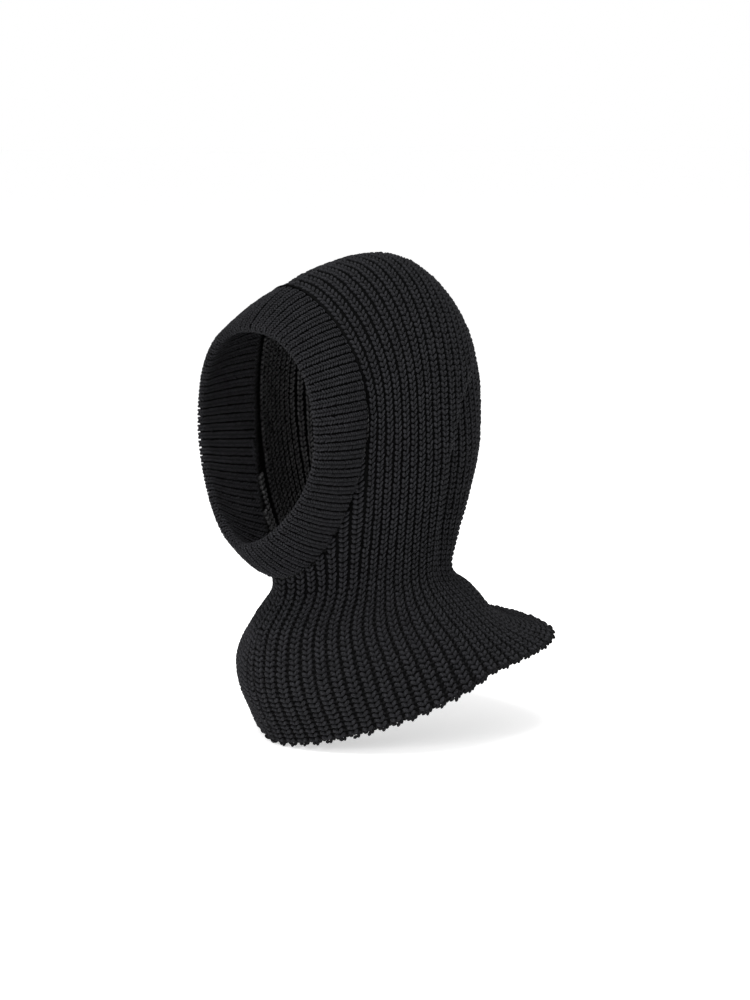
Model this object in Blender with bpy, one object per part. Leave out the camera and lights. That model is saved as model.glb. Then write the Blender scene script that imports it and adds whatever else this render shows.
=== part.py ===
"""A rib-knit balaclava: one knitted body, a folded face band and the yarn seams between them.

Metres, +Z up. The wearer faces -Y and the wearer's left is +X. The origin is the inside of the
crown, where the top of the head touches the knit.
"""
import bpy
import math
import numpy as np

# ---- driving dimensions -------------------------------------------------------------
FABRIC = 0.005            # thickness of the chunky rib
GAP = 0.0003              # clearance between neighbouring pieces
YARN = 0.0020             # radius of the linking yarn in the seams
HEIGHT = 0.380            # crown to the lowest point of the front hem
HEAD_WIDTH = 0.180        # widest, above the ears
HEAD_DEPTH = 0.221        # forehead side of the hood to its back
NECK_WIDTH = 0.140        # narrowest width, under the jaw
BIB_WIDTH = 0.264         # across the shoulders at the hem
BIB_DEPTH = 0.238         # chest to back at the hem
OPENING_WIDTH = 0.140     # face opening, inside the rolled edge
OPENING_HEIGHT = 0.162
BAND_ROLL = 0.0037        # radius of the band's folded edge
WALES = 33                # rib columns in each half of the body
SEAM_WALE = 8             # the first column that runs on over the crown
SIDE_WALE = 16            # the column down the side of the head

# ---- the upright fold behind the ear, measured down from the crown -------------------
FOLD = 0.0055             # how far it sinks
FOLD_Z = np.array([-0.700, -0.410, -0.300, -0.225]) * HEIGHT
FOLD_WALE = [18.2, 18.8, 20.6, 23.5]
FOLD_REACH = np.array([-0.700, -0.560, -0.280, -0.200]) * HEIGHT

# ---- rings of the body, hem to the widest part of the head --------------------------
# heights are shares of HEIGHT below the crown: front, side, back
# then half width, y at the front, side and back, the two roundnesses, and where SEAM_WALE sits
W, D = HEAD_WIDTH / 0.18, HEAD_DEPTH / 0.221
RINGS = (
    (1.008, 0.839, 0.789, BIB_WIDTH * 0.500, -0.112 * D, -0.006, BIB_DEPTH * 0.479, 1.58, 3.0, 0.50),
    (0.862, 0.770, 0.752, BIB_WIDTH * 0.412, -0.134 * D, -0.010, BIB_DEPTH * 0.286, 1.70, 2.5, 0.50),
    (0.772, 0.720, 0.702, BIB_WIDTH * 0.328, -0.130 * D, -0.014, BIB_DEPTH * 0.250, 1.50, 2.3, 0.50),
    (0.684, 0.668, 0.658, NECK_WIDTH * 0.50, -0.110 * D, -0.015, 0.038 * D, 1.45, 2.6, 0.530),
    (0.610, 0.605, 0.595, NECK_WIDTH * 0.52, -0.117 * D, -0.018, 0.044 * D, 1.50, 2.5, 0.570),
    (0.513, 0.513, 0.513, 0.082 * W, -0.133 * D, -0.023, 0.054 * D, 1.50, 2.4, 0.620),
    (0.408, 0.408, 0.408, 0.089 * W, -0.143 * D, -0.026, 0.068 * D, 1.45, 2.2, 0.645),
    (0.303, 0.303, 0.303, 0.090 * W, -0.149 * D, -0.028, 0.072 * D, 1.45, 2.1, 0.666),
)
# the crown's outline in the centre plane, front seam to the back of the head: y, share of HEIGHT
CROWN = (
    (-0.0955, 0.059), (-0.0700, 0.0330), (-0.0430, 0.0135), (-0.0150, 0.0012), (0.004, 0.0040),
    (0.028, 0.038), (0.055, 0.119), (0.069, 0.215), (0.072, 0.303),
)
SEAM_SIDE = 0.303
SEAM_CHIN = 0.658
CROWN_Z = FABRIC


def spline(points, steps):
    """A smooth curve through the points, loosely parameterised by their distances."""
    points = np.asarray(points, float)
    p = np.vstack([2 * points[0] - points[1], points, 2 * points[-1] - points[-2]])
    t = np.linspace(0, 1, steps, endpoint=False)[:, None]
    out = []
    for i in range(1, len(p) - 2):
        d0 = max(np.linalg.norm(p[i] - p[i - 1]), 1e-6)
        d1 = max(np.linalg.norm(p[i + 1] - p[i]), 1e-6)
        d2 = max(np.linalg.norm(p[i + 2] - p[i + 1]), 1e-6)
        a = (p[i] - p[i - 1]) / d0 - (p[i + 1] - p[i - 1]) / (d0 + d1) + (p[i + 1] - p[i]) / d1
        b = (p[i + 1] - p[i]) / d1 - (p[i + 2] - p[i]) / (d1 + d2) + (p[i + 2] - p[i + 1]) / d2
        out.append(
            (2 * t**3 - 3 * t**2 + 1) * p[i]
            + (t**3 - 2 * t**2 + t) * a * d1
            + (3 * t**2 - 2 * t**3) * p[i + 1]
            + (t**3 - t**2) * b * d1
        )
    out.append(p[-2][None])
    return np.vstack(out)


def lengths(line):
    return np.concatenate([[0.0], np.cumsum(np.linalg.norm(np.diff(line, axis=0), axis=1))])


def at(line, places):
    """Points at these distances along a line."""
    run = lengths(line)
    return np.stack([np.interp(places, run, line[:, k]) for k in range(3)], -1)


def ring_point(ring, wale):
    front_h, side_h, back_h, half, front, side, back, front_n, back_n, seam_at = ring
    ahead = wale <= SIDE_WALE
    if ahead:
        share = np.interp(wale, [0, SEAM_WALE, SIDE_WALE], [0, seam_at, 1])
        end, n, end_h = front, front_n, front_h
    else:
        share = 1 - (wale - SIDE_WALE) / (WALES - SIDE_WALE)
        end, n, end_h = back, back_n, back_h
    a = np.linspace(0, math.pi / 2, 400)
    x = half * np.sin(a) ** (2 / n)
    y = side + (end - side) * np.cos(a) ** (2 / n)
    run = np.concatenate([[0.0], np.cumsum(np.hypot(np.diff(x), np.diff(y)))])
    x = np.interp(share * run[-1], run, x)
    y = np.interp(share * run[-1], run, y)
    lean = abs((side - y) / (side - end)) ** (0.95 if wale <= SIDE_WALE else 0.85)
    return np.array([x, y, CROWN_Z - HEIGHT * (side_h + (end_h - side_h) * lean)])


crown_line = spline([[0, y * D, CROWN_Z - HEIGHT * h] for y, h in CROWN], 24)
crown_run = lengths(crown_line)[-1]


def creased(path, wale):
    """The soft upright fold behind the ear, steep in front and easing off to the back."""
    z = path[:, 2] - CROWN_Z
    away = wale - np.interp(z, FOLD_Z, FOLD_WALE)
    depth = FOLD * np.exp(-(away / np.where(away < 0, 0.6, 2.4)) ** 2)
    depth *= np.interp(z, FOLD_REACH, [0, 1, 1, 0])
    return path - np.stack([depth, depth * 0, depth * 0], -1)


def column(wale):
    """A rib column's whole path on the outside, hem to the crown's centre line."""
    points = [ring_point(ring, wale) for ring in RINGS]
    if wale < SEAM_WALE - 1e-6:
        return creased(spline(points, 12), wale)
    start = points[-1]
    top = at(crown_line, crown_run * (wale - SEAM_WALE) / (WALES - SEAM_WALE))
    power = 2 / np.interp(wale, [SEAM_WALE, SEAM_WALE + 9], [1.80, 2.0])
    for turn in np.radians([15, 30, 45, 60, 75, 90]):
        over = math.sin(turn) ** power
        points.append(np.array([
            start[0] * max(math.cos(turn), 0.0) ** power,
            start[1] + (top[1] - start[1]) * math.sin(turn) ** 2,
            start[2] + (top[2] - start[2]) * over,
        ]))
    return creased(spline(points, 12), wale)


LOWER = 12 * (len(RINGS) - 1)


def seam_height(wale, grow=0.0):
    """Height of the band's lower seam on a column, grow metres outside it."""
    reach = SEAM_WALE + grow / 0.0084
    drop = HEIGHT * (SEAM_CHIN - SEAM_SIDE) + grow
    share = (1 - min(wale / reach, 1.0) ** 2.2) ** (1 / 2.2)
    return CROWN_Z - HEIGHT * SEAM_SIDE - drop * share


def lower_part(wale, grow):
    """The column from the hem up to the seam, or to the widest part of the head."""
    line = column(wale)[: LOWER + 1]
    stop = seam_height(wale, grow)
    k = int(np.argmax(line[:, 2] > stop)) if (line[:, 2] > stop).any() else len(line) - 1
    k = max(k, 1)
    share = np.clip((stop - line[k - 1, 2]) / (line[k, 2] - line[k - 1, 2]), 0, 1)
    return np.vstack([line[:k], line[k - 1] + (line[k] - line[k - 1]) * share])


def mesh_object(name, verts, faces, colour, roughness):
    mesh = bpy.data.meshes.new(name)
    mesh.from_pydata([tuple(map(float, v)) for v in verts], [], faces)
    mesh.validate()
    ob = bpy.data.objects.new(name, mesh)
    bpy.context.scene.collection.objects.link(ob)
    mat = bpy.data.materials.new(name + "_knit")
    mat.use_nodes = True
    shader = mat.node_tree.nodes["Principled BSDF"]
    shader.inputs["Base Color"].default_value = (*colour, 1.0)
    shader.inputs["Roughness"].default_value = roughness
    shader.inputs["Metallic"].default_value = 0.0
    mesh.materials.append(mat)
    return ob


def thicken(verts, faces, depth):
    """A closed body from an outward-facing sheet: a second skin inside and a wall round each edge."""
    verts = np.asarray(verts, float)
    normal = np.zeros_like(verts)
    for face in faces:
        p = verts[list(face)]
        n = np.cross(p[2] - p[0], p[-1] - p[1])
        normal[list(face)] += n / max(np.linalg.norm(n), 1e-12)
    normal[np.abs(verts[:, 0]) < (YARN + GAP) * 1.01, 0] = 0.0
    normal /= np.maximum(np.linalg.norm(normal, axis=1), 1e-9)[:, None]
    count = len(verts)
    body = list(verts) + list(verts - normal * depth)
    out = [tuple(f) for f in faces] + [tuple(v + count for v in reversed(f)) for f in faces]
    used = {}
    for face in faces:
        for a, b in zip(face, face[1:] + face[:1]):
            used[(a, b)] = True
    for a, b in used:
        if (b, a) not in used:
            out.append((b, a, a + count, b + count))
    return body, out


def tube(path, inward, radius, sides=8, closed=False):
    """A round yarn along a path, with rounded ends unless it closes on itself."""
    path = np.asarray(path, float)
    if closed:
        ahead = np.roll(path, -1, 0) - np.roll(path, 1, 0)
        size = np.ones(len(path))
    else:
        first, last = path[0] - path[1], path[-1] - path[-2]
        first /= np.linalg.norm(first)
        last /= np.linalg.norm(last)
        caps = [0.9, 0.55]
        path = np.vstack(
            [path[0] + first * radius * c for c in caps]
            + [path]
            + [path[-1] + last * radius * c for c in caps[::-1]]
        )
        inward = np.vstack([inward[:1]] * 2 + [inward] + [inward[-1:]] * 2)
        ahead = np.gradient(path, axis=0)
        size = np.ones(len(path))
        size[[0, -1]], size[[1, -2]] = 0.44, 0.84
    ahead /= np.linalg.norm(ahead, axis=1)[:, None]
    up = inward - ahead * (inward * ahead).sum(1)[:, None]
    up /= np.linalg.norm(up, axis=1)[:, None]
    side = np.cross(ahead, up)
    turn = np.arange(sides) * 2 * math.pi / sides
    verts = [
        path[i] + radius * size[i] * (math.cos(a) * up[i] + math.sin(a) * side[i])
        for i in range(len(path)) for a in turn
    ]
    faces = []
    for i in range(len(path) if closed else len(path) - 1):
        j = (i + 1) % len(path)
        for k in range(sides):
            m = (k + 1) % sides
            faces.append((i * sides + k, i * sides + m, j * sides + m, j * sides + k))
    if not closed:
        last = (len(path) - 1) * sides
        faces.append(tuple(range(sides))[::-1])
        faces.append(tuple(last + k for k in range(sides)))
    return verts, faces


def mirror(points):
    return np.asarray(points) * np.array([-1.0, 1.0, 1.0])


for old in list(bpy.data.objects):
    bpy.data.objects.remove(old, do_unlink=True)

# ---- body ---------------------------------------------------------------------------
reach = YARN + GAP
cut = reach + 0.0007
first_full = SEAM_WALE + cut / 0.0084
wales = list(first_full * np.sin(np.linspace(0, math.pi / 2, 11)))
wales += list(np.linspace(first_full, WALES, 25)[1:])
rows, over = 21, 8
verts, faces, low, high = [], [], {}, {}
for side in (1, -1):
    for c, wale in enumerate(wales):
        line = lower_part(wale, cut)
        run = lengths(line)[-1]
        points = at(line, 2 * YARN + 4 * GAP + (run - 2 * YARN - 4 * GAP) * np.linspace(0, 1, rows + 1))
        points[:, 0] = np.maximum(points[:, 0], reach)
        for r, point in enumerate(points):
            low[side, c, r] = len(verts)
            verts.append(point * [side, 1, 1])
        if wale >= first_full:
            dome = column(wale)[LOWER:]
            dome = at(dome, lengths(dome)[-1] * np.linspace(0, 1, over + 1))
            high[side, c, 0] = low[side, c, rows]
            if c == len(wales) - 1:
                # the last column is only the seam's end, and closes round it
                turn = np.linspace(0, math.pi / 2, over + 1)
                dome = points[-1] + np.stack([-reach * (1 - np.cos(turn)), 0 * turn, reach * np.sin(turn)], 1)
            for r in range(1, over + 1):
                if r == over and side == -1:
                    high[side, c, r] = high[1, c, r]
                    continue
                high[side, c, r] = len(verts)
                verts.append((dome[r] if r < over else dome[r] * [0, 1, 1]) * [side, 1, 1])
for side in (1, -1):
    for c in range(len(wales) - 1):
        strips = [(low, r) for r in range(rows)]
        if wales[c] >= first_full:
            strips += [(high, r) for r in range(over)]
        for grid, r in strips:
            face = (grid[side, c, r], grid[side, c + 1, r], grid[side, c + 1, r + 1], grid[side, c, r + 1])
            faces.append(face if side == 1 else face[::-1])
mesh_object("body", *thicken(verts, faces, FABRIC), (0.022, 0.022, 0.024), 0.92)

# ---- the seam between the body and the band ------------------------------------------
arc = column(SEAM_WALE)[LOWER:][::-1]
under = [lower_part(SEAM_WALE * math.cos(a), 0.0)[-1] for a in np.linspace(0, math.pi / 2, 40)[1:]]
seam = np.vstack([arc, under])
seam[0, 0] = seam[-1, 0] = 0.0
behind = column(SEAM_WALE + 1)[LOWER:][::-1]
beyond = [
    lower_part(SEAM_WALE * math.cos(a), 0.0) for a in np.linspace(0, math.pi / 2, 40)[1:]
]
beyond = np.array([at(line, lengths(line)[-1] - 0.008) for line in beyond])
away = np.vstack([behind[: len(arc)] - arc, beyond - np.array(under)])
# near the side of the head the wales run along the seam, so the fabric's way back is taken instead
blend = np.clip(np.linspace(1.6, 0, 39), 0, 1)[:, None]
back_way = np.array([0.0, 1.0, 0.0])
away[len(arc):] = away[len(arc):] * (1 - blend) + back_way * 0.008 * blend


def band_half(count):
    """Seam points, roll centres and outward normals at even shares of each curve, top to chin."""
    share = np.linspace(0, 1, count)
    s = at(seam, lengths(seam)[-1] * share)
    b = np.stack([np.interp(share * lengths(seam)[-1], lengths(seam), away[:, k]) for k in range(3)], -1)
    a = np.linspace(0, math.pi, 400)
    top, chin = CROWN_Z - 0.0570, CROWN_Z - 0.0570 - OPENING_HEIGHT
    mid, half = (top + chin) / 2, (top - chin) / 2 + BAND_ROLL
    power = 2 / np.where(np.cos(a) > 0, 2.35, 1.70)
    rise = np.sign(np.cos(a)) * np.abs(np.cos(a)) ** power
    y = (-0.1268 - np.where(rise > 0, 0.0040, 0.0150) * rise ** 2) * D
    roll = np.stack([(OPENING_WIDTH / 2 + BAND_ROLL) * np.sin(a) ** power, y, mid + half * rise], -1)
    roll[0, 0] = roll[-1, 0] = 0.0
    r = at(roll, lengths(roll)[-1] * share)
    along = np.gradient((s + r) / 2, axis=0)
    out = np.cross(r - s, along)
    out /= np.linalg.norm(out, axis=1)[:, None]
    skin = np.cross(along, b)
    skin /= np.linalg.norm(skin, axis=1)[:, None]
    centre = np.array([0.0, -0.02, CROWN_Z - 0.13])
    out *= np.sign(((s + r) / 2 - centre)[:, None, :] @ out[:, :, None])[:, 0]
    skin *= np.sign((s - centre)[:, None, :] @ skin[:, :, None])[:, 0]
    s = s - skin * FABRIC / 2
    return s, r, out, skin


s, r, out, skin = band_half(49)
ring = np.vstack([s, mirror(s[1:-1])[::-1]])
way = np.vstack([-skin, mirror(-skin[1:-1])[::-1]])
mesh_object("face_seam", *tube(ring, way, YARN, closed=True), (0.018, 0.018, 0.020), 0.92)

# ---- the folded face band, open at the chin where its ends are joined -----------------
shares = np.array([0.0, 0.2, 0.4, 0.6, 0.8, 1.0])
halves = np.array([0.0026, 0.0031, 0.0034, 0.0036, 0.0037, BAND_ROLL])


def section(s, r, out):
    """The band's closed outline from its seam edge to the roll and back inside."""
    d = r - s
    width = np.linalg.norm(d)
    d = d / width
    begin = reach + halves[0]
    u = begin + (width - begin) * shares
    bulge = 0.0030 * 4 * (u / width) * (1 - u / width)
    points = [s + d * x + out * (g + h) for x, h, g in zip(u, halves, bulge)]
    for a in np.radians([60, 30, 0, -30, -60]):
        points.append(s + d * (width + BAND_ROLL * math.cos(a)) + out * BAND_ROLL * math.sin(a))
    points += [s + d * x + out * (g - h) for x, h, g in zip(u[::-1], halves[::-1], bulge[::-1])]
    for a in np.radians([-50, 0, 50]):
        points.append(s + d * (begin - halves[0] * math.cos(a)) + out * (bulge[0] + halves[0] * math.sin(a)))
    return points


sections = [section(*row) for row in zip(s, r, out)]
left = np.array(sections)
left[-1, :, 0] = 0.0013
left[0, :, 0] = 0.0
right = mirror(left)
loops = list(left[::-1]) + list(right[1:])
around = len(loops[0])
verts = [p for loop in loops for p in loop]
faces = []
for i in range(len(loops) - 1):
    for k in range(around):
        m = (k + 1) % around
        faces.append((i * around + k, (i + 1) * around + k, (i + 1) * around + m, i * around + m))
faces.append(tuple(range(around)))
faces.append(tuple((len(loops) - 1) * around + k for k in range(around))[::-1])
mesh_object("face_band", verts, faces, (0.026, 0.026, 0.028), 0.92)

# ---- the yarn that joins the band's ends at the chin ----------------------------------
d = r[-1] - s[-1]
width = np.linalg.norm(d)
d /= width
path = [
    s[-1] + d * u + out[-1] * (0.0030 * 4 * (u / width) * (1 - u / width))
    for u in np.linspace(reach + 0.0012, width + BAND_ROLL * 0.6, 10)
]
mesh_object(
    "band_join", *tube(np.array(path), np.array([out[-1]] * 10), 0.0009, 6), (0.018, 0.018, 0.020), 0.92
)


def centre_seam(wale, top_gap):
    """The path of a seam up the centre plane at mid thickness, and its inward directions."""
    line = lower_part(wale, 0.0) if wale == 0 else column(wale)[: LOWER + 1]
    line = line * [0, 1, 1]
    run = lengths(line)[-1]
    path = at(line, np.linspace(2 * YARN + 2 * GAP + YARN, run - top_gap, 34))
    ahead = np.gradient(path, axis=0)
    ahead /= np.linalg.norm(ahead, axis=1)[:, None]
    inward = np.stack([0 * ahead[:, 0], ahead[:, 2], -ahead[:, 1]], -1)
    inward *= 1 if wale == 0 else -1
    return path + inward * FABRIC / 2, inward


# ---- centre seams and hem edge --------------------------------------------------------
for name, wale, top_gap in (("throat_seam", 0, 2.6 * YARN), ("back_seam", WALES, 0.6 * YARN)):
    path, inward = centre_seam(wale, top_gap)
    mesh_object(name, *tube(path, inward, YARN), (0.018, 0.018, 0.020), 0.92)

edge, inner = [], []
for wale in np.linspace(0, WALES, 61):
    line = column(wale)
    point = at(line, YARN)
    edge.append(point)
near = np.array(edge)
near[0, 0] = near[-1, 0] = 0.0
ring = np.vstack([near, mirror(near[1:-1])[::-1]])
along = np.roll(ring, -1, 0) - np.roll(ring, 1, 0)
climb = []
for wale in np.linspace(0, WALES, 61):
    line = column(wale)
    climb.append(at(line, 0.006) - at(line, 0.0))
climb = np.array(climb)
climb = np.vstack([climb, mirror(climb[1:-1])[::-1]])
inward = np.cross(climb, along)
inward /= np.linalg.norm(inward, axis=1)[:, None]
inward *= np.sign(inward[0, 1])
mesh_object("hem_edge", *tube(ring + inward * FABRIC / 2, inward, YARN, closed=True), (0.022, 0.022, 0.024), 0.92)
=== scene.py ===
# %% [markdown]
# # A chunky rib-knit balaclava
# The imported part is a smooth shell. This lesson dresses it in real knit: every stitch is a pair of
# small yarn lobes, laid out flat in columns and rows and then carried onto the form of the head.

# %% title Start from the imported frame
import math

import bmesh
import bpy
import numpy as np
from mathutils import Matrix, Vector


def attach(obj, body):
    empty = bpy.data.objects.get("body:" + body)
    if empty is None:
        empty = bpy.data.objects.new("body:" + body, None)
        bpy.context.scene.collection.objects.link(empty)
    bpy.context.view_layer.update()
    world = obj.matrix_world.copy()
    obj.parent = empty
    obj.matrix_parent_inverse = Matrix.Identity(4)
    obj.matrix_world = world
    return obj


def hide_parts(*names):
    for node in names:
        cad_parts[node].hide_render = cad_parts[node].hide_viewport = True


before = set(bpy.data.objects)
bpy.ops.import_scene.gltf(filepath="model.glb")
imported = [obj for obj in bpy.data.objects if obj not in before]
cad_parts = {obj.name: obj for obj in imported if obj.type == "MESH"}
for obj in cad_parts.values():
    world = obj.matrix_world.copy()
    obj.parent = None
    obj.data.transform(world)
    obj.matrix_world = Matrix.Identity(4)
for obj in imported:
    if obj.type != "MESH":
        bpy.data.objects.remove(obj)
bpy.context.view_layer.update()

# %% [markdown]
# ## The form
# Eight rings, from the hem to the widest part of the head, and the outline of the crown give the
# whole body. A rib column runs up through the rings and, from the ninth one back, over the crown.
# Each ring holds: heights at front, side and back below the crown, half width, y at the front,
# side and back, two roundnesses, and where along its front quarter the face seam's column sits.

# %% title Rings and crown
FABRIC = 0.005
HEIGHT, CROWN_Z = 0.380, 0.005
WALES, SEAM_WALE, SIDE_WALE = 33, 8, 16
ROLL = 0.0037
# The fold at the side: its depth, the column it follows at four heights, and where it fades out.
FOLD = 0.0055
FOLD_Z = [-0.2660, -0.1558, -0.1140, -0.0855]
FOLD_WALE = [18.2, 18.8, 20.6, 23.5]
FOLD_REACH = [-0.2660, -0.2128, -0.1064, -0.0760]
RINGS = (
    (1.008, 0.839, 0.789, 0.1320, -0.112, -0.006, 0.1140, 1.58, 3.0, 0.50),
    (0.862, 0.770, 0.752, 0.1088, -0.134, -0.010, 0.0681, 1.70, 2.5, 0.50),
    (0.772, 0.720, 0.702, 0.0866, -0.130, -0.014, 0.0595, 1.50, 2.3, 0.50),
    (0.684, 0.668, 0.658, 0.0700, -0.110, -0.015, 0.038, 1.45, 2.6, 0.530),
    (0.610, 0.605, 0.595, 0.0728, -0.117, -0.018, 0.044, 1.50, 2.5, 0.570),
    (0.513, 0.513, 0.513, 0.0820, -0.133, -0.023, 0.054, 1.50, 2.4, 0.620),
    (0.408, 0.408, 0.408, 0.0890, -0.143, -0.026, 0.068, 1.45, 2.2, 0.645),
    (0.303, 0.303, 0.303, 0.0900, -0.149, -0.028, 0.072, 1.45, 2.1, 0.666),
)
CROWN = (
    (-0.0955, 0.059), (-0.0700, 0.0330), (-0.0430, 0.0135), (-0.0150, 0.0012), (0.004, 0.0040),
    (0.028, 0.038), (0.055, 0.119), (0.069, 0.215), (0.072, 0.303),
)
SEAM_SIDE, SEAM_CHIN = 0.303, 0.658
random = np.random.default_rng(11)


# %% [markdown]
# A column is a smooth curve through its points on the rings. `at` walks along such a curve by
# true distance, so stitches keep their size wherever the body widens or narrows.

# %% title Curves
def spline(points, steps):
    points = np.asarray(points, float)
    p = np.vstack([2 * points[0] - points[1], points, 2 * points[-1] - points[-2]])
    t = np.linspace(0, 1, steps, endpoint=False)[:, None]
    out = []
    for i in range(1, len(p) - 2):
        d0 = max(np.linalg.norm(p[i] - p[i - 1]), 1e-6)
        d1 = max(np.linalg.norm(p[i + 1] - p[i]), 1e-6)
        d2 = max(np.linalg.norm(p[i + 2] - p[i + 1]), 1e-6)
        a = (p[i] - p[i - 1]) / d0 - (p[i + 1] - p[i - 1]) / (d0 + d1) + (p[i + 1] - p[i]) / d1
        b = (p[i + 1] - p[i]) / d1 - (p[i + 2] - p[i]) / (d1 + d2) + (p[i + 2] - p[i + 1]) / d2
        out.append(
            (2 * t**3 - 3 * t**2 + 1) * p[i]
            + (t**3 - 2 * t**2 + t) * a * d1
            + (3 * t**2 - 2 * t**3) * p[i + 1]
            + (t**3 - t**2) * b * d1
        )
    out.append(p[-2][None])
    return np.vstack(out)


def lengths(line):
    return np.concatenate([[0.0], np.cumsum(np.linalg.norm(np.diff(line, axis=0), axis=1))])


def at(line, places):
    """Points at these distances along a line, going straight on past its ends."""
    run = lengths(line)
    places = np.asarray(places, float)
    out = np.stack([np.interp(places, run, line[:, k]) for k in range(3)], -1)
    first = (line[1] - line[0]) / max(run[1], 1e-9)
    last = (line[-1] - line[-2]) / max(run[-1] - run[-2], 1e-9)
    out += np.minimum(places, 0)[..., None] * first
    out += np.maximum(places - run[-1], 0)[..., None] * last
    return out


def ring_point(ring, wale):
    front_h, side_h, back_h, half, front, side, back, front_n, back_n, seam_at = ring
    if wale <= SIDE_WALE:
        share = np.interp(wale, [0, SEAM_WALE, SIDE_WALE], [0, seam_at, 1])
        end, n, end_h = front, front_n, front_h
    else:
        share = 1 - (wale - SIDE_WALE) / (WALES - SIDE_WALE)
        end, n, end_h = back, back_n, back_h
    a = np.linspace(0, math.pi / 2, 400)
    x = half * np.sin(a) ** (2 / n)
    y = side + (end - side) * np.cos(a) ** (2 / n)
    run = np.concatenate([[0.0], np.cumsum(np.hypot(np.diff(x), np.diff(y)))])
    x = np.interp(share * run[-1], run, x)
    y = np.interp(share * run[-1], run, y)
    lean = abs((side - y) / (side - end)) ** (0.95 if wale <= SIDE_WALE else 0.85)
    return np.array([x, y, CROWN_Z - HEIGHT * (side_h + (end_h - side_h) * lean)])


crown_line = spline([[0, y, CROWN_Z - HEIGHT * h] for y, h in CROWN], 24)
LOWER = 12 * (len(RINGS) - 1)


def creased(path, wale):
    """The soft upright fold behind the ear, steep in front and easing off to the back."""
    z = path[:, 2] - CROWN_Z
    away = wale - np.interp(z, FOLD_Z, FOLD_WALE)
    depth = FOLD * np.exp(-(away / np.where(away < 0, 0.6, 2.4)) ** 2)
    depth *= np.interp(z, FOLD_REACH, [0, 1, 1, 0])
    return path - np.stack([depth, depth * 0, depth * 0], -1)


def column(wale):
    points = [ring_point(ring, wale) for ring in RINGS]
    if wale < SEAM_WALE - 1e-6:
        return creased(spline(points, 12), wale)
    start = points[-1]
    share = (wale - SEAM_WALE) / (WALES - SEAM_WALE)
    top = at(crown_line, lengths(crown_line)[-1] * share)
    power = 2 / np.interp(wale, [SEAM_WALE, SEAM_WALE + 9], [1.80, 2.0])
    for turn in np.radians([15, 30, 45, 60, 75, 90]):
        over = math.sin(turn) ** power
        points.append(np.array([
            start[0] * max(math.cos(turn), 0.0) ** power,
            start[1] + (top[1] - start[1]) * math.sin(turn) ** 2,
            start[2] + (top[2] - start[2]) * over,
        ]))
    return creased(spline(points, 12), wale)


def seam_height(wale):
    share = (1 - min(wale / SEAM_WALE, 1.0) ** 2.2) ** (1 / 2.2)
    return CROWN_Z - HEIGHT * (SEAM_SIDE + (SEAM_CHIN - SEAM_SIDE) * share)


def seam_run(wale):
    """How far up its column the face seam lies, or the crown's centre line if it has none."""
    line = column(wale)
    if wale >= SEAM_WALE:
        return lengths(line)[-1]
    run = lengths(line)
    above = np.nonzero(line[:, 2] > seam_height(wale))[0]
    k = max(int(above[0]), 1) if len(above) else len(line) - 1
    share = (seam_height(wale) - line[k - 1, 2]) / (line[k, 2] - line[k - 1, 2])
    return run[k - 1] + (run[k] - run[k - 1]) * float(np.clip(share, 0, 1))


# %% [markdown]
# ## Fabric maps
# A `Cloth` is a table of places and outward normals over two fabric coordinates: which column,
# and how far along it in metres. `place` turns flat knitting into knitting on the form. Sideways
# offsets are given in metres, and are squeezed where the columns crowd together.

# %% title Cloth
WIDEST = 1.42  # how far a stitch may spread where the columns stand apart


class Cloth:
    def __init__(self, lanes, runs, points, outward):
        self.lanes, self.runs, self.points = lanes, runs, points
        across = np.gradient(points, lanes, axis=0)
        along = np.gradient(points, runs, axis=1)
        normal = np.cross(across, along)
        normal /= np.maximum(np.linalg.norm(normal, axis=2), 1e-12)[..., None]
        middle = normal[len(lanes) // 2, len(runs) // 3]
        self.normal = normal * np.sign(middle @ outward)
        self.pitch = np.linalg.norm(across, axis=2)

    def read(self, table, lane, run):
        i = np.clip((lane - self.lanes[0]) / (self.lanes[1] - self.lanes[0]), 0, len(self.lanes) - 1.001)
        j = np.clip((run - self.runs[0]) / (self.runs[1] - self.runs[0]), 0, len(self.runs) - 1.001)
        i0, j0 = i.astype(int), j.astype(int)
        a, b = i - i0, j - j0
        if table.ndim == 3:
            a, b = a[:, None], b[:, None]
        return (
            table[i0, j0] * (1 - a) * (1 - b) + table[i0 + 1, j0] * a * (1 - b)
            + table[i0, j0 + 1] * (1 - a) * b + table[i0 + 1, j0 + 1] * a * b
        )

    def place(self, lane, side, run, height, width, fill):
        pitch = self.read(self.pitch, lane, run)
        squeeze = np.minimum(WIDEST, fill * pitch / width)
        lane = lane + side * squeeze / np.maximum(pitch, 1e-5)
        spot = self.read(self.points, lane, run)
        return spot + self.read(self.normal, lane, run) * (height * np.sqrt(squeeze))[:, None]


body_lanes = np.arange(0, WALES + 0.01, 0.25)
body_runs = np.arange(-0.006, 0.46, 0.002)
body_cloth = Cloth(
    body_lanes, body_runs,
    np.array([at(column(w), body_runs) for w in body_lanes]), np.array([1.0, 0, 0]),
)


# %% [markdown]
# ## The band's section
# The band leaves the face seam, swells a little, rolls over at the opening and comes back inside.
# Its own cloth has one coordinate round the face and one from the outer seam over the roll.

# %% title Band cloth
def face_seam_line():
    arc = column(SEAM_WALE)[LOWER:][::-1]
    turns = np.linspace(0, math.pi / 2, 40)[1:]
    under = [at(column(SEAM_WALE * math.cos(a)), seam_run(SEAM_WALE * math.cos(a))) for a in turns]
    line = np.vstack([arc, under])
    line[0, 0] = line[-1, 0] = 0.0
    return line


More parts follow.
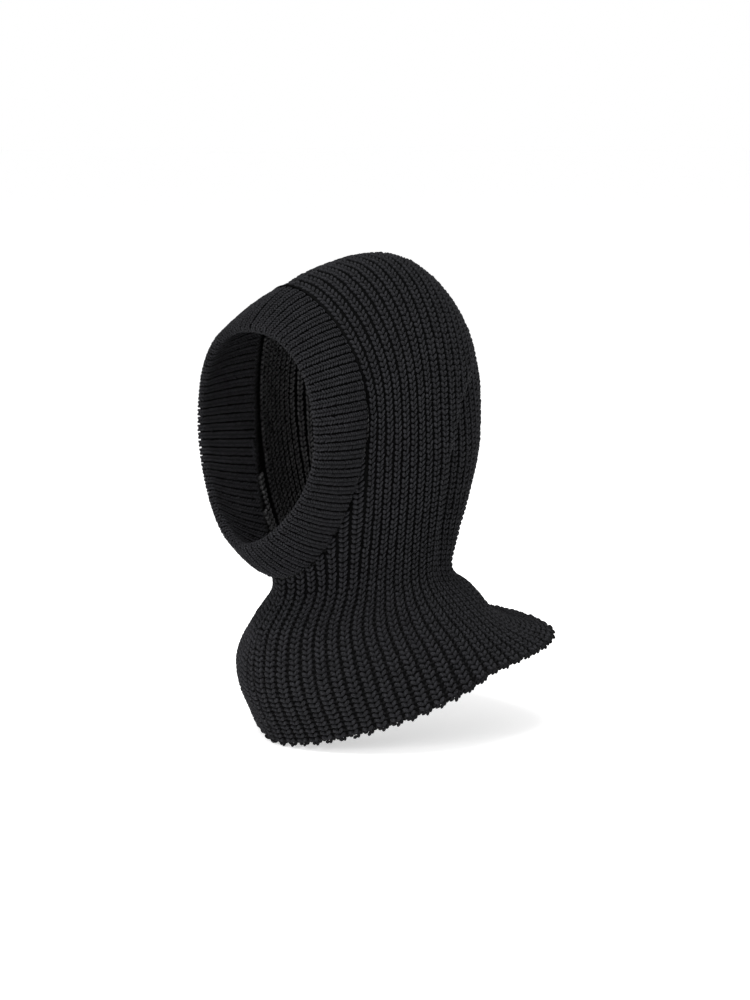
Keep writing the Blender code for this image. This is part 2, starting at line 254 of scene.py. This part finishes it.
def roll_line():
    a = np.linspace(0, math.pi, 400)
    power = 2 / np.where(np.cos(a) > 0, 2.35, 1.70)
    rise = np.sign(np.cos(a)) * np.abs(np.cos(a)) ** power
    y = -0.1268 - np.where(rise > 0, 0.0040, 0.0150) * rise ** 2
    line = np.stack([(0.0700 + ROLL) * np.sin(a) ** power, y, -0.1330 + (0.081 + ROLL) * rise], -1)
    line[0, 0] = line[-1, 0] = 0.0
    return line


def band_cloth(ribs):
    share = np.linspace(0, 1, ribs * 4 + 1)
    seam, roll = face_seam_line(), roll_line()
    s = at(seam, lengths(seam)[-1] * share)
    r = at(roll, lengths(roll)[-1] * share)
    along = np.gradient((s + r) / 2, axis=0)
    out = np.cross(r - s, along)
    out /= np.linalg.norm(out, axis=1)[:, None]
    middle = np.array([0.0, -0.02, -0.125])
    flip = np.sign((((s + r) / 2 - middle) * out).sum(1))
    out *= flip[:, None]
    s = s - out * FABRIC / 2
    width = np.linalg.norm(r - s, axis=1)
    d = (r - s) / width[:, None]
    paths = []
    for i in range(len(share)):
        u = np.linspace(-0.0010, width[i], 12)
        thick = np.interp(u / width[i], [0, 0.2, 0.5, 1], [0.0026, 0.0031, 0.0035, ROLL])
        bulge = 0.0120 * (u / width[i]) * (1 - u / width[i])
        outer = s[i] + d[i] * u[:, None] + out[i] * (bulge + thick)[:, None]
        inner = s[i] + d[i] * u[::-1, None] + out[i] * (bulge - thick)[::-1, None]
        turn = np.radians(np.arange(75, -76, -15))
        bend = r[i] + d[i] * ROLL * np.cos(turn)[:, None] + out[i] * ROLL * np.sin(turn)[:, None]
        paths.append(np.vstack([outer, bend, inner]))
    total = float(np.mean([lengths(p)[-1] for p in paths]))
    runs = np.linspace(0, total, 60)
    table = np.array([at(p, lengths(p)[-1] * runs / total) for p in paths])
    return Cloth(share * ribs, runs, table, np.array([1.0, 0, 0])), total


RIBS = 40
face_cloth, band_run = band_cloth(RIBS)


# %% [markdown]
# ## Materials
# One small class wraps a node socket, so that shader arithmetic reads like ordinary arithmetic.

# %% title Shader helper
class S:
    def __init__(self, tree, socket):
        self.tree, self.socket = tree, socket

    def node(self, kind, wanted=0, settings=(), **inputs):
        n = self.tree.nodes.new(kind)
        for key, value in settings:
            setattr(n, key, value)
        for key, value in inputs.items():
            target = n.inputs[int(key[1:])] if key[1:].isdigit() else n.inputs[key.replace("_", " ")]
            if isinstance(value, S):
                self.tree.links.new(value.socket, target)
            else:
                target.default_value = value
        return S(self.tree, n.outputs[wanted])

    def math(self, operation, a, b=0.0, c=0.0):
        return self.node("ShaderNodeMath", 0, (("operation", operation),), i0=a, i1=b, i2=c)

    def __add__(self, other):
        return self.math("ADD", self, other)

    def __radd__(self, other):
        return self.math("ADD", other, self)

    def __sub__(self, other):
        return self.math("SUBTRACT", self, other)

    def __rsub__(self, other):
        return self.math("SUBTRACT", other, self)

    def __mul__(self, other):
        return self.math("MULTIPLY", self, other)

    def __rmul__(self, other):
        return self.math("MULTIPLY", other, self)


def yarn(name, colour, light, twist=True):
    """Matt charcoal wool: painted shade darkens it where a lobe sinks into the fabric, with uneven dye, pale
    fibre flecks that are partly painted glints of light, and a ply that winds round each lobe."""
    mat = bpy.data.materials.new(name)
    mat.use_nodes = True
    tree = mat.node_tree
    shader = tree.nodes["Principled BSDF"]
    start = S(tree, None)
    where = start.node("ShaderNodeTexCoord", "Object")
    blotch = start.node("ShaderNodeTexNoise", 0, i0=where, Scale=70.0, Detail=2.0)
    # Pale fibre flecks, partly real and partly painted glints of light on the fibres.
    fleck_and_painted_glint = start.node("ShaderNodeTexNoise", 0, i0=where, Scale=950.0, Detail=2.0, Roughness=0.6)
    fibre = start.node("ShaderNodeTexNoise", 0, i0=where, Scale=2600.0, Detail=3.0, Roughness=0.7)
    # Painted shade: the lobe's crest height darkens the colour where it sinks into the fabric, standing in
    # for the shadow between lobes.
    crest = start.node("ShaderNodeAttribute", 2, (("attribute_name", "crest"),))
    shade = start.node("ShaderNodeMapRange", 0, i0=crest, i1=0.30, i2=0.92, i3=0.0, i4=1.0)
    ramp = start.node(
        "ShaderNodeMix", 2, (("data_type", "RGBA"),),
        Factor=shade * ((blotch - 0.5) * 0.5 + (fleck_and_painted_glint - 0.5) * 3.2 + (fibre - 0.5) * 0.8 + 0.62),
        i6=(*colour, 1), i7=(*light, 1),
    )
    tree.links.new(ramp.socket, shader.inputs["Base Color"])
    relief = fibre * 0.5
    if twist:
        uv = start.node("ShaderNodeUVMap")
        apart = start.node("ShaderNodeSeparateXYZ", "X", i0=uv)
        up = S(tree, apart.socket.node.outputs["Y"])
        ply = start.math("SINE", (apart * 2.0 + up * 3.0) * 6.28318)
        relief = relief + ply * 0.35
    bump = start.node("ShaderNodeBump", 0, Strength=0.75, Distance=0.0008, Height=relief)
    tree.links.new(bump.socket, shader.inputs["Normal"])
    shader.inputs["Roughness"].default_value = 0.85
    shader.inputs["Specular IOR Level"].default_value = 0.10 if twist else 0.05
    shader.inputs["Sheen Weight"].default_value = 0.02 if twist else 0.0
    shader.inputs["Sheen Roughness"].default_value = 0.45
    shader.inputs["Sheen Tint"].default_value = (0.8, 0.8, 0.85, 1)
    return mat


wool = yarn("charcoal_wool", (0.0012, 0.0012, 0.0014), (0.0184, 0.0185, 0.0210))
# The same yarn made much paler: painted light for the dim inside of the balaclava.
inside_yarn_painted_light = yarn("charcoal_inside_yarn_painted_light", (0.0040, 0.0040, 0.0041), (0.0780, 0.0775, 0.0795))
# The same yarn made darker: painted shade for the seam loops and the stitches deep in the valleys.
dark_yarn_painted_shade = yarn("charcoal_dark_yarn_painted_shade", (0.0010, 0.0010, 0.0011), (0.0080, 0.0080, 0.0088))
# Near black: painted shade for the cloth that shows deep between the lobes.
core_yarn_painted_shade = yarn("charcoal_core_yarn_painted_shade", (0.0008, 0.0008, 0.0009), (0.0014, 0.0014, 0.0016), twist=False)


# %% [markdown]
# ## One stitch
# Two lobes lean apart like a V. The unit is built once, repeated by an Array modifier, and only then
# moved onto the cloth.

# %% title Stitches
def link(name, bm, material):
    mesh = bpy.data.meshes.new(name)
    bm.to_mesh(mesh)
    bm.free()
    ob = bpy.data.objects.new(name, mesh)
    bpy.context.scene.collection.objects.link(ob)
    mesh.materials.append(material)
    return ob


def lobe(bm, centre, half, lean, dip=0.0, segments=6, rings=5):
    """A yarn lobe, long along Y, leaning sideways by lean and into the cloth by dip."""
    made = bmesh.ops.create_uvsphere(bm, u_segments=segments, v_segments=rings, radius=1.0, calc_uvs=True)
    shape = (
        Matrix.Translation(centre)
        @ Matrix.Rotation(lean, 4, "Z")
        @ Matrix.Rotation(dip, 4, "X")
        @ Matrix.Diagonal((half[0], half[1], half[2], 1))
        @ Matrix.Rotation(math.pi / 2, 4, "X")
    )
    bmesh.ops.transform(bm, matrix=shape, verts=made["verts"])


def repeated(ob, count):
    """The unit repeated count times in one place, as real vertices."""
    array = ob.modifiers.new("repeat", "ARRAY")
    array.use_relative_offset = False
    array.use_constant_offset = True
    array.constant_offset_displace = (0, 0, 0)
    array.count = count
    return settled(ob)


def settled(ob):
    graph = bpy.context.evaluated_depsgraph_get()
    mesh = bpy.data.meshes.new_from_object(ob.evaluated_get(graph))
    ob.modifiers.clear()
    old = ob.data
    ob.data = mesh
    bpy.data.meshes.remove(old)
    return ob


def coordinates(mesh):
    co = np.zeros(len(mesh.vertices) * 3)
    mesh.vertices.foreach_get("co", co)
    return co.reshape(-1, 3)


def set_crest(mesh, height, most=1.0):
    """How high each point of a lobe stands, from 0 in the fabric to 1 on its back, up to most; the wool's
    colour turns low points into painted shade.
    """
    low, high = np.percentile(height, [1, 99])
    values = most * np.clip((height - low) / (high - low), 0, 1).astype(np.float32)
    mesh.attributes.new("crest", "FLOAT", "POINT").data.foreach_set("value", values)


def set_coordinates(mesh, co):
    mesh.vertices.foreach_set("co", co.astype(np.float32).ravel())
    mesh.polygons.foreach_set("use_smooth", np.ones(len(mesh.polygons), bool))
    mesh.update()


def mirrored(ob, name):
    """The same piece for the wearer's right, with its faces turned the right way out."""
    twin = ob.copy()
    twin.data = ob.data.copy()
    twin.name = name
    bpy.context.scene.collection.objects.link(twin)
    bm = bmesh.new()
    bm.from_mesh(twin.data)
    bmesh.ops.scale(bm, vec=(-1, 1, 1), verts=bm.verts)
    bmesh.ops.reverse_faces(bm, faces=bm.faces)
    bm.to_mesh(twin.data)
    bm.free()
    return twin


def knit(name, cloth, unit, stitches, level, width, fill, size, material=None, flip=False):
    """Stitches is a list of (lane, run, length scale); unit draws one stitch into a bmesh."""
    bm = bmesh.new()
    unit(bm)
    ob = link(name, bm, material or wool)
    single = len(ob.data.vertices)
    repeated(ob, len(stitches))
    co = coordinates(ob.data)
    which = np.arange(len(co)) // single
    data = np.array(stitches)
    count = len(data)
    lane, run, pull = data[which, 0], data[which, 1], data[which, 2]
    jog = random.normal(0, size * 0.035, (count, 3))[which]
    swell = (1 + random.normal(0, 0.045, count))[which]
    turn = random.normal(0, 0.05, count)[which]
    x, y, z = co[:, 0] * swell, co[:, 1] * pull, co[:, 2] * swell
    x, y = x - y * turn, y + x * turn
    set_crest(ob.data, co[:, 2])
    if flip:
        z = -z
    height = z + level + jog[:, 2] * 0.6
    out = cloth.place(lane, x + jog[:, 0], run + y + jog[:, 1], height, width, fill)
    set_coordinates(ob.data, out)
    if flip:
        turned_over(ob)
    return ob


def turned_over(ob):
    bm = bmesh.new()
    bm.from_mesh(ob.data)
    bmesh.ops.reverse_faces(bm, faces=bm.faces)
    bm.to_mesh(ob.data)
    bm.free()


def big_stitch(bm):
    for side in (1, -1):
        lobe(bm, Vector((side * 0.00135, 0, 0)), (0.00140, 0.0030, 0.00165), -side * 0.55, 0.34)


def small_stitch(bm):
    for side in (1, -1):
        lobe(bm, Vector((side * 0.00170, 0, 0)), (0.00105, 0.0026, 0.00125), -side * 0.88, 0.26)


# %% [markdown]
# ## The body
# The outer ridges stand over columns 0.5, 1.5, ... and the inner ones between them, as in a real one-by-one
# rib. On the bib, where the columns spread, small stitches coloured darker as painted shade fill the valleys.
# Each knit call gives the level under the surface, the stitch's own width and its share of a column.

# %% title Body ribs
ROW = 0.0043
STITCH_WIDTH = 0.0067
EDGE = 0.0015
OUTER_LEVEL, INNER_LEVEL, VALLEY_LEVEL = -0.0014, -0.0040, -0.0019


def rows(lane, begin, end, row):
    count = max(int(round((end - begin) / row)), 1)
    step = (end - begin) / count
    return [(lane, begin + step * (k + 0.5), step / row) for k in range(count)]


NECK_RUN = 0.128
parts = {"hood": [], "bib": []}
inside = {"hood": [], "bib": []}
for k in range(WALES):
    for lane, store in ((k + 0.5, parts), (k + 1.0, inside)):
        if lane >= WALES:
            continue
        if lane < SEAM_WALE:
            stop = seam_run(min(lane + 0.35, 7.95)) - EDGE
        else:
            stop = NECK_RUN if lane == SEAM_WALE else seam_run(lane)
        for stitch in rows(lane, EDGE, stop, ROW):
            store["bib" if stitch[1] < NECK_RUN else "hood"].append(stitch)

pieces = []
for region in ("hood", "bib"):
    outer = knit(
        f"left_{region}_ribs", body_cloth, big_stitch, parts[region],
        OUTER_LEVEL, STITCH_WIDTH, 0.82, ROW,
    )
    # The lining ribs take the paler copy of the yarn as painted light.
    inner = knit(
        f"left_{region}_lining_ribs", body_cloth, big_stitch, inside[region],
        INNER_LEVEL, STITCH_WIDTH, 0.74, ROW, inside_yarn_painted_light, True,
    )
    pieces += [outer, inner]
    pieces += [mirrored(outer, f"right_{region}_ribs"), mirrored(inner, f"right_{region}_lining_ribs")]
# The valley stitches take the darker copy of the yarn as painted shade.
valley = knit(
    "left_bib_valley_ribs", body_cloth, small_stitch, inside["bib"],
    VALLEY_LEVEL, STITCH_WIDTH, 0.80, ROW, dark_yarn_painted_shade,
)
pieces += [valley, mirrored(valley, "right_bib_valley_ribs")]


# %% [markdown]
# The core cloth is a grid carried onto the same map, then given its thickness. It closes the gaps that show
# between the lobes, and its near-black colour is painted shade for the deep valleys.

# %% title Core cloth
CORE = 0.0011


def core(name, cloth, lanes, across, along, run_of, level, thickness, material):
    """A plain cloth sheet under the lobes. run_of gives its first and last run on a column."""
    bm = bmesh.new()
    bmesh.ops.create_grid(bm, x_segments=across, y_segments=along, size=0.5)
    ob = link(name, bm, material)
    co = coordinates(ob.data) + 0.5
    first, last = lanes
    lane = first + co[:, 0] * (last - first)
    stops = np.unique(lane.round(5))
    ends = np.array([run_of(w) for w in stops])
    low, high = np.interp(lane, stops, ends[:, 0]), np.interp(lane, stops, ends[:, 1])
    run = low + co[:, 1] * (high - low)
    spot = cloth.read(cloth.points, lane, run) + cloth.read(cloth.normal, lane, run) * level
    spot[np.isin(lane.round(5), [0.0, cloth.lanes[-1]]), 0] = 0.0
    set_coordinates(ob.data, spot)
    solid = ob.modifiers.new("thickness", "SOLIDIFY")
    solid.thickness = thickness
    solid.offset = 0
    return settled(ob)


body_core = core(
    "left_body_cloth", body_cloth, (8.0, WALES), 100, 110,
    lambda w: (EDGE, seam_run(w)), -FABRIC / 2, CORE, core_yarn_painted_shade,
)
chest_core = core(
    "left_chest_cloth", body_cloth, (0.0, 8.2), 33, 60,
    lambda w: (EDGE, seam_run(min(w, 7.98)) - 0.0022), -FABRIC / 2, CORE, core_yarn_painted_shade,
)
pieces += [body_core, chest_core]
pieces += [mirrored(body_core, "right_body_cloth"), mirrored(chest_core, "right_chest_cloth")]

# %% [markdown]
# ## The band
# Its ribs run from the face seam over the roll and back inside, in finer, flatter stitches.

# %% title Band ribs
BAND_ROW = 0.0024
BAND_EDGE = 0.0034
outside_run = band_run * 0.52
lists = {"face": [], "lining": []}
for k in range(RIBS):
    for stitch in rows(k + 0.5, BAND_EDGE, band_run - BAND_EDGE, BAND_ROW):
        lists["face" if stitch[1] < outside_run else "lining"].append(stitch)
for region in ("face", "lining"):
    ribs = knit(
        f"left_band_{region}_ribs", face_cloth, small_stitch, lists[region], -0.0006, 0.0080, 0.92, BAND_ROW
    )
    pieces += [ribs, mirrored(ribs, f"right_band_{region}_ribs")]
# The band's core cloth is near black as painted shade between its ribs.
band_core = core(
    "left_band_cloth", face_cloth, (0.0, RIBS), 152, 60,
    lambda w: (0.0008, band_run - 0.0008), -0.0022, CORE, core_yarn_painted_shade,
)
pieces += [band_core, mirrored(band_core, "right_band_cloth")]


# %% [markdown]
# ## Seams and the cast-off edge
# Loops of the same yarn link the band to the body, close the throat and the back, and bind the hem; the face
# seam's loops are coloured darker as painted shade, the inner back seam's paler as painted light.

# %% title Yarn loops along a line
def loop_unit(bm):
    lobe(bm, Vector((0, 0, 0)), (0.00150, 0.0027, 0.00160), 0.6, 0.30)


LOOP, EDGE_LOOP = 0.0040, 0.0034


def loops(name, line, outward, step, unit, jitter=0.10, material=None):
    """Lobes one after another along a line, each a little different."""
    total = lengths(line)[-1]
    count = int(total / step)
    bm = bmesh.new()
    unit(bm)
    ob = link(name, bm, material or wool)
    single = len(ob.data.vertices)
    repeated(ob, count)
    co = coordinates(ob.data)
    which = np.arange(len(co)) // single
    places = (np.arange(count) + 0.5) * total / count
    places = places + random.normal(0, step * jitter, count)
    spots, ahead = at(line, places), at(line, places + 0.001) - at(line, places - 0.001)
    ahead /= np.linalg.norm(ahead, axis=1)[:, None]
    run = lengths(line)
    up = np.stack([np.interp(places, run, outward[:, k]) for k in range(3)], -1)
    up -= ahead * (up * ahead).sum(1)[:, None]
    up /= np.linalg.norm(up, axis=1)[:, None]
    side = np.cross(ahead, up)
    turn = random.normal(0, jitter * 2.2, count)[which][:, None]
    swell = (1 + random.normal(0, jitter, count))[which][:, None]
    lift = random.normal(0, 0.00022, count)[which][:, None]
    # Crest capped at half, so the loops take more painted shade than the stitches.
    set_crest(ob.data, co[:, 2], 0.5)
    a = co[:, 0:1] * np.cos(turn) - co[:, 1:2] * np.sin(turn)
    b = co[:, 1:2] * np.cos(turn) + co[:, 0:1] * np.sin(turn)
    flat = (side[which] * a + ahead[which] * b) * swell
    set_coordinates(ob.data, spots[which] + flat + up[which] * (co[:, 2:3] * swell + lift))
    return ob


seam = face_seam_line()
seam_s = at(seam, np.linspace(0, lengths(seam)[-1], 160))
band_out = face_cloth.read(face_cloth.normal, np.linspace(0, RIBS, 160), np.full(160, 0.004))
for name, depth in (("outer", -0.0034), ("inner", -0.0042)):
    line = seam_s + band_out * depth
    out = band_out if name == "outer" else -band_out
    # The face seam's loops take the darker copy of the yarn as painted shade.
    ring = loops(f"left_face_seam_{name}", line, out, LOOP, loop_unit, material=dark_yarn_painted_shade)
    pieces += [ring, mirrored(ring, f"right_face_seam_{name}")]


def centre_line(wale, level):
    stop = seam_run(wale) if wale == 0 else lengths(column(wale)[: LOWER + 1])[-1]
    run = np.linspace(0.001, stop - 0.001, 90)
    lane = np.full(90, float(wale))
    normal = body_cloth.read(body_cloth.normal, lane, run) * [0, 1, 1]
    normal /= np.linalg.norm(normal, axis=1)[:, None]
    return body_cloth.read(body_cloth.points, lane, run) * [0, 1, 1] + normal * level, normal


seams = {}
for name, wale in (("throat_seam", 0), ("back_seam", WALES)):
    line, normal = centre_line(wale, -0.0024)
    seams[name] = loops(f"{name}_yarn", line, normal, LOOP, loop_unit)
    pieces.append(seams[name])


def wide_unit(bm):
    lobe(bm, Vector((0, 0, 0)), (0.0032, 0.0027, 0.0016), 0.9, 0.30)


inner_line, inner_normal = centre_line(WALES, -0.0040)
# The inner back seam takes the paler copy of the yarn as painted light.
pieces.append(loops("back_seam_inner_yarn", inner_line, -inner_normal, LOOP, wide_unit, material=inside_yarn_painted_light))

hem_lane = np.linspace(0, WALES, 400)
scallop = -0.0002 - 0.0011 * np.cos((hem_lane - 0.5) * 2 * math.pi)
hem_level = -0.0024 + 0.0010 * np.cos((hem_lane - 0.5) * 2 * math.pi)
hem_normal = body_cloth.read(body_cloth.normal, hem_lane, np.full(400, 0.001))
hem_line = body_cloth.read(body_cloth.points, hem_lane, 0.0012 + scallop) + hem_normal * hem_level[:, None]
hem = loops("left_hem_edge_yarn", hem_line, hem_normal, EDGE_LOOP, loop_unit, jitter=0.05)
pieces += [hem, mirrored(hem, "right_hem_edge_yarn")]

chin_lane, chin_run = np.full(40, float(RIBS)), np.linspace(0.002, band_run * 0.62, 40)
join_line = face_cloth.read(face_cloth.points, chin_lane, chin_run)
join_normal = face_cloth.read(face_cloth.normal, chin_lane, chin_run)
join_line = join_line * [0, 1, 1] - join_normal * 0.0012
join = loops("band_join_yarn", join_line, join_normal, EDGE_LOOP, loop_unit)
pieces.append(join)

# %% [markdown]
# ## Handing the pieces to the frame
# Everything rides on the one body, and the parts of the imported model that the knit covers are hidden. The
# flat cloth sizes are estimates made from this model: the column spacing and the widths were chosen after its
# own cloth had been measured, so they do not confirm that measure independently.

# %% title Riding, and hiding the covered parts
for piece in pieces:
    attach(piece, "root")
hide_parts("body")
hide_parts("face_band")
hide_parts("face_seam")
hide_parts("throat_seam")
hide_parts("back_seam")
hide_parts("hem_edge")
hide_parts("band_join")

# %% [markdown]
# ## Stage
# A plain pale studio: white all round, a large soft lamp above and in front, a weaker one behind on
# the left, and a small one in front that reaches into the face opening.

# %% title Stage, light and camera
bpy.ops.mesh.primitive_plane_add(size=80, location=(0, 0, -0.3795))
floor = bpy.context.object
floor.name = "floor"
paper = bpy.data.materials.new("pale_paper")
paper.use_nodes = True
paper_inputs = paper.node_tree.nodes["Principled BSDF"].inputs
paper_inputs["Base Color"].default_value = (0.9, 0.9, 0.9, 1)
paper_inputs["Roughness"].default_value = 0.9
paper_inputs["Emission Color"].default_value = (1, 1, 1, 1)
paper_inputs["Emission Strength"].default_value = 0.50
floor.data.materials.append(paper)

scene = bpy.context.scene
world = bpy.data.worlds.new("studio")
scene.world = world
world.use_nodes = True
sky = world.node_tree.nodes["Background"]
sky.inputs["Color"].default_value = (1, 1, 1, 1)
seen = S(world.node_tree, world.node_tree.nodes.new("ShaderNodeLightPath").outputs["Is Camera Ray"])
world.node_tree.links.new((seen * 0.45 + 0.55).socket, sky.inputs["Strength"])


def soft_light(name, place, aim, size, power):
    data = bpy.data.lights.new(name, "AREA")
    data.size = size
    data.energy = power
    lamp = bpy.data.objects.new(name, data)
    lamp.location = place
    lamp.rotation_euler = (Vector(aim) - Vector(place)).to_track_quat("-Z", "Y").to_euler()
    scene.collection.objects.link(lamp)


soft_light("top", (0.5, -0.9, 2.2), (0, 0, -0.15), 1.6, 70)
soft_light("fill", (1.9, 0.9, 0.7), (0, 0, -0.15), 1.2, 13)
soft_light("opening", (0.30, -0.95, 0.02), (-0.03, 0.02, -0.13), 0.35, 5.5)

azimuth, elevation, distance = math.radians(50), math.radians(9), 1.89
back = Vector((
    math.sin(azimuth) * math.cos(elevation), -math.cos(azimuth) * math.cos(elevation), math.sin(elevation)
))
right = Vector((math.cos(azimuth), math.sin(azimuth), 0))
target = Vector((0, -0.023, -0.19)) + right * 0.0096 - back.cross(right) * 0.0024
camera_data = bpy.data.cameras.new("view")
camera_data.lens = 85.05
camera = bpy.data.objects.new("view", camera_data)
camera.location = target + back * distance
camera.rotation_euler = (-back).to_track_quat("-Z", "Y").to_euler()
scene.collection.objects.link(camera)
scene.camera = camera
scene.view_settings.view_transform = "Standard"
